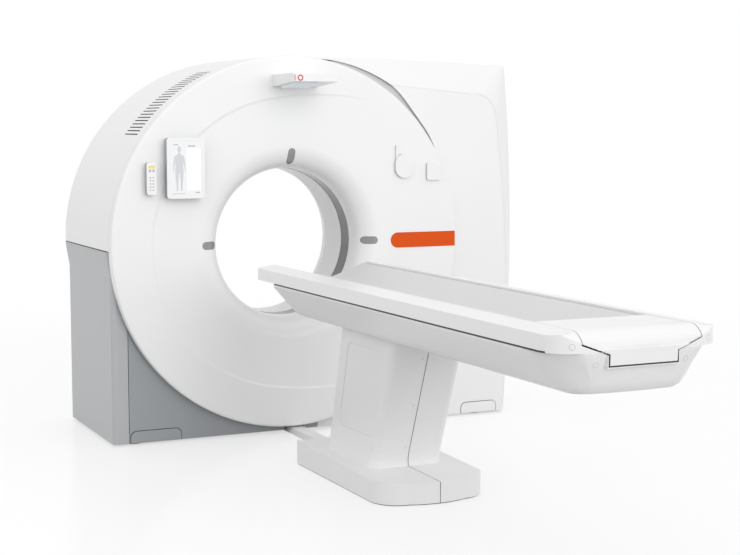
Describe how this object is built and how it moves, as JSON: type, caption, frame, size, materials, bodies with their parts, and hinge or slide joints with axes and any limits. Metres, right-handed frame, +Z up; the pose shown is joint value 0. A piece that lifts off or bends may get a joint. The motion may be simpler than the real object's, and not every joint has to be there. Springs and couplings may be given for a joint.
{
  "type": "computed tomography scanner",
  "caption": "CT scanner: round white gantry with a dished bore and grey service wing, and a patient table with a curved sliding top on a leaning lift column.",
  "frame": {"origin": "on the floor, under the bore axis, just behind the front face of the gantry, where the cable duct enters it", "axes": "+Z up, +X to the right of someone who faces the gantry from the table, +Y from the table into the bore"},
  "size_m": [2.0539, 3.4945, 1.724],
  "materials": {
    "cover_white": "smooth white moulded covers, satin gloss",
    "cover_grey": "smooth grey moulded covers, satin gloss",
    "light_grey": "light grey moulded trim",
    "dark_trim": "near black matt plastic",
    "reveal_grey": "mid grey matt filler",
    "front_grey": "darker grey painted cover, satin",
    "window_dark": "dark translucent scan window",
    "window_grey": "grey translucent laser window",
    "badge_orange": "red-orange enamel, bare",
    "screen": null,
    "remote_white": "white hand remote with a yellow field",
    "tablet_white": "white gloss tablet case",
    "ring_red": "red ring",
    "lamp_glow": "bluish light box",
    "board_grey": "grey laminate board, satin",
    "frame_steel": "grey painted steel weldment",
    "bare_steel": "machined steel",
    "alloy": "machined aluminium",
    "copper_band": "slip-ring tracks",
    "coil_epoxy": "potted motor coils"
  },
  "bodies": {
    "gantry": {"front_cover": "cover_white", "laser_window_right": "window_grey", "laser_window_top": "window_grey", "laser_window_left": "window_grey", "scan_window": "window_dark", "bore_liner": "cover_white", "rear_cover": "cover_white", "rear_panel": "cover_white", "shell_vented": "cover_white", "side_cover": "cover_grey", "lower_panel": "front_grey", "floor_flap_left": "front_grey", "floor_flap_right": "cover_white", "wing_shell": "cover_white", "wing_front": "cover_white", "reveal_panel": "reveal_grey", "badge_plate": "badge_orange", "tablet_dock": "light_grey", "tablet_case": "tablet_white", "tablet_screen": "screen", "remote_dock": "light_grey", "remote_case": "remote_white", "dock_oval": "light_grey", "dock_square": "light_grey", "overhead_housing": "cover_white", "overhead_ring": "ring_red", "overhead_lamp": "lamp_glow", "base_frame": "frame_steel", "stator_plate": "frame_steel", "bearing_outer": "bare_steel", "drive_stator": "coil_epoxy", "brush_block": "dark_trim", "fan_tray": "dark_trim", "power_cabinet": "frame_steel", "cable_duct": "cover_white", "table_base_plate": "frame_steel", "pedestal_right": "cover_white", "pedestal_left": "cover_white", "mast_outer": "frame_steel", "lift_drive": "frame_steel"},
    "rotor": {"rotor_plate": "alloy", "bearing_inner": "bare_steel", "drive_rotor": "bare_steel", "slip_ring": "copper_band", "xray_tube": "alloy", "collimator": "alloy", "detector_arc": "dark_trim", "hv_generator": "alloy", "cooling_unit": "alloy"},
    "table_lift": {"mast_inner": "frame_steel", "mast_head": "frame_steel", "rail_right": "alloy", "rail_left": "alloy", "tub_shell": "cover_white", "rim_right": "cover_white", "rim_left": "cover_white", "foot_cap": "cover_white", "slide_drive": "frame_steel"},
    "tabletop": {"cradle_board": "board_grey"}
  },
  "joints": [
    {"name": "rotor_spin", "type": "hinge", "parent": "gantry", "child": "rotor", "pos_m": [0, 0.119, 0.876], "axis": [0, 1, 0], "continuous": true},
    {"name": "table_lift", "type": "slide", "parent": "gantry", "child": "table_lift", "axis": [0, -0.309, 0.9511], "range_m": [-0.115, 0.06]},
    {"name": "tabletop_slide", "type": "slide", "parent": "table_lift", "child": "tabletop", "axis": [0, 1, 0], "range_m": [0, 1.6]}
  ]
}
